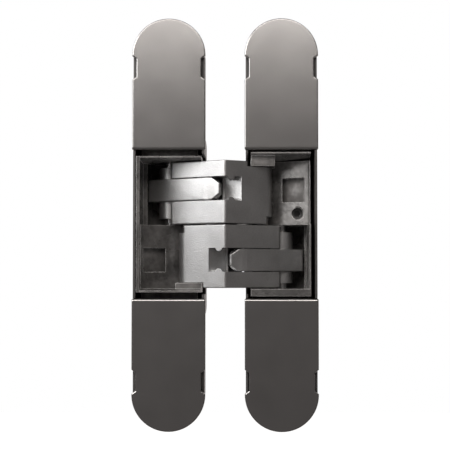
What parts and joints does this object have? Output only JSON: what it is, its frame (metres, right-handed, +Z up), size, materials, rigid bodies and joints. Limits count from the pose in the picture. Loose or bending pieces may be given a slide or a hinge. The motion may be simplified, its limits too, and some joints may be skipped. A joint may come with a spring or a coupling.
{
  "type": "concealed door hinge",
  "caption": "Concealed door hinge: slim round-ended housings with cover caps, joined by crossed arms and links that fold into their pockets.",
  "frame": {"origin": "centre of the frame body's four screw holes, on the back face of its end flanges where they seat on the timber", "axes": "+Y into the timber behind the hinge, +Z up along the bodies, +X away from the door body with the hinge open flat"},
  "size_m": [0.0723, 0.0328, 0.16],
  "materials": {
    "housing": "dark satin die-cast zinc",
    "carriage": "dark satin die-cast zinc",
    "cover": "satin gunmetal lacquer",
    "arm": "fine blasted nickel-grey die-cast zinc",
    "pin_steel": "ground steel",
    "bearing": "plain bearing bronze",
    "screw_steel": "blackened steel"
  },
  "bodies": {
    "frame": {"frame_housing": "housing", "frame_cap_upper": "cover", "frame_cap_lower": "cover", "frame_clamp_screws": "screw_steel", "frame_clamp_plates": "screw_steel"},
    "frame_carriage": {"frame_carriage": "carriage", "upper_arm_pin": "pin_steel", "lower_link_pin": "pin_steel"},
    "side_adjuster": {"side_adjuster": "screw_steel"},
    "upper_arm": {"upper_arm": "arm", "upper_arm_bushes": "bearing", "upper_nose_pin": "pin_steel", "centre_pin": "pin_steel", "centre_washer": "bearing"},
    "lower_arm": {"lower_arm": "arm", "lower_arm_bushes": "bearing", "lower_nose_pin": "pin_steel", "centre_bushes": "bearing"},
    "lower_link": {"lower_link": "arm", "lower_link_bushes": "bearing"},
    "upper_link": {"upper_link": "arm", "upper_link_bushes": "bearing"},
    "door_carriage": {"door_carriage": "carriage", "lower_arm_pin": "pin_steel", "upper_link_pin": "pin_steel"},
    "door": {"door_housing": "housing", "door_cap_upper": "cover", "door_cap_lower": "cover", "door_clamp_screws": "screw_steel", "door_clamp_plates": "screw_steel"}
  },
  "joints": [
    {"name": "side_adjust", "type": "slide", "parent": "frame", "child": "frame_carriage", "axis": [1, 0, 0], "range_m": [-0.001, 0.001]},
    {"name": "side_adjuster_turn", "type": "hinge", "parent": "frame_carriage", "child": "side_adjuster", "pos_m": [0.00645, 0, 0.0045], "axis": [0, 1, 0], "range_deg": [-80, 80]},
    {"name": "arm_swing", "type": "hinge", "parent": "frame_carriage", "child": "upper_arm", "pos_m": [-0.00825, -0.00465, 0], "axis": [0, 0, 1], "range_deg": [0, 120]},
    {"name": "arm_cross", "type": "hinge", "parent": "upper_arm", "child": "lower_arm", "pos_m": [-0.02185, -0.0015, 0], "axis": [0, 0, 1], "range_deg": [-60.5, 0]},
    {"name": "door_swing", "type": "hinge", "parent": "lower_arm", "child": "door_carriage", "pos_m": [-0.03545, -0.00465, 0], "axis": [0, 0, 1], "range_deg": [0, 120.5]},
    {"name": "lower_link_swing", "type": "hinge", "parent": "frame_carriage", "child": "lower_link", "pos_m": [0.00035, 0.0023, 0], "axis": [0, 0, 1], "range_deg": [0, 71.5]},
    {"name": "upper_link_swing", "type": "hinge", "parent": "door_carriage", "child": "upper_link", "pos_m": [-0.04405, 0.0023, 0], "axis": [0, 0, 1], "range_deg": [-71.5, 0]},
    {"name": "height_adjust", "type": "slide", "parent": "door_carriage", "child": "door", "axis": [0, 0, 1], "range_m": [-0.002, 0.002]}
  ],
  "couplings": [
    {"joint": "side_adjuster_turn", "follows": "side_adjust", "rad_per_m": -1047.2},
    {"joint": "arm_cross", "follows": "arm_swing", "ratio": -0.5},
    {"joint": "door_swing", "follows": "arm_swing", "ratio": 1},
    {"joint": "lower_link_swing", "follows": "arm_swing", "ratio": 0.592},
    {"joint": "upper_link_swing", "follows": "arm_swing", "ratio": -0.592}
  ]
}
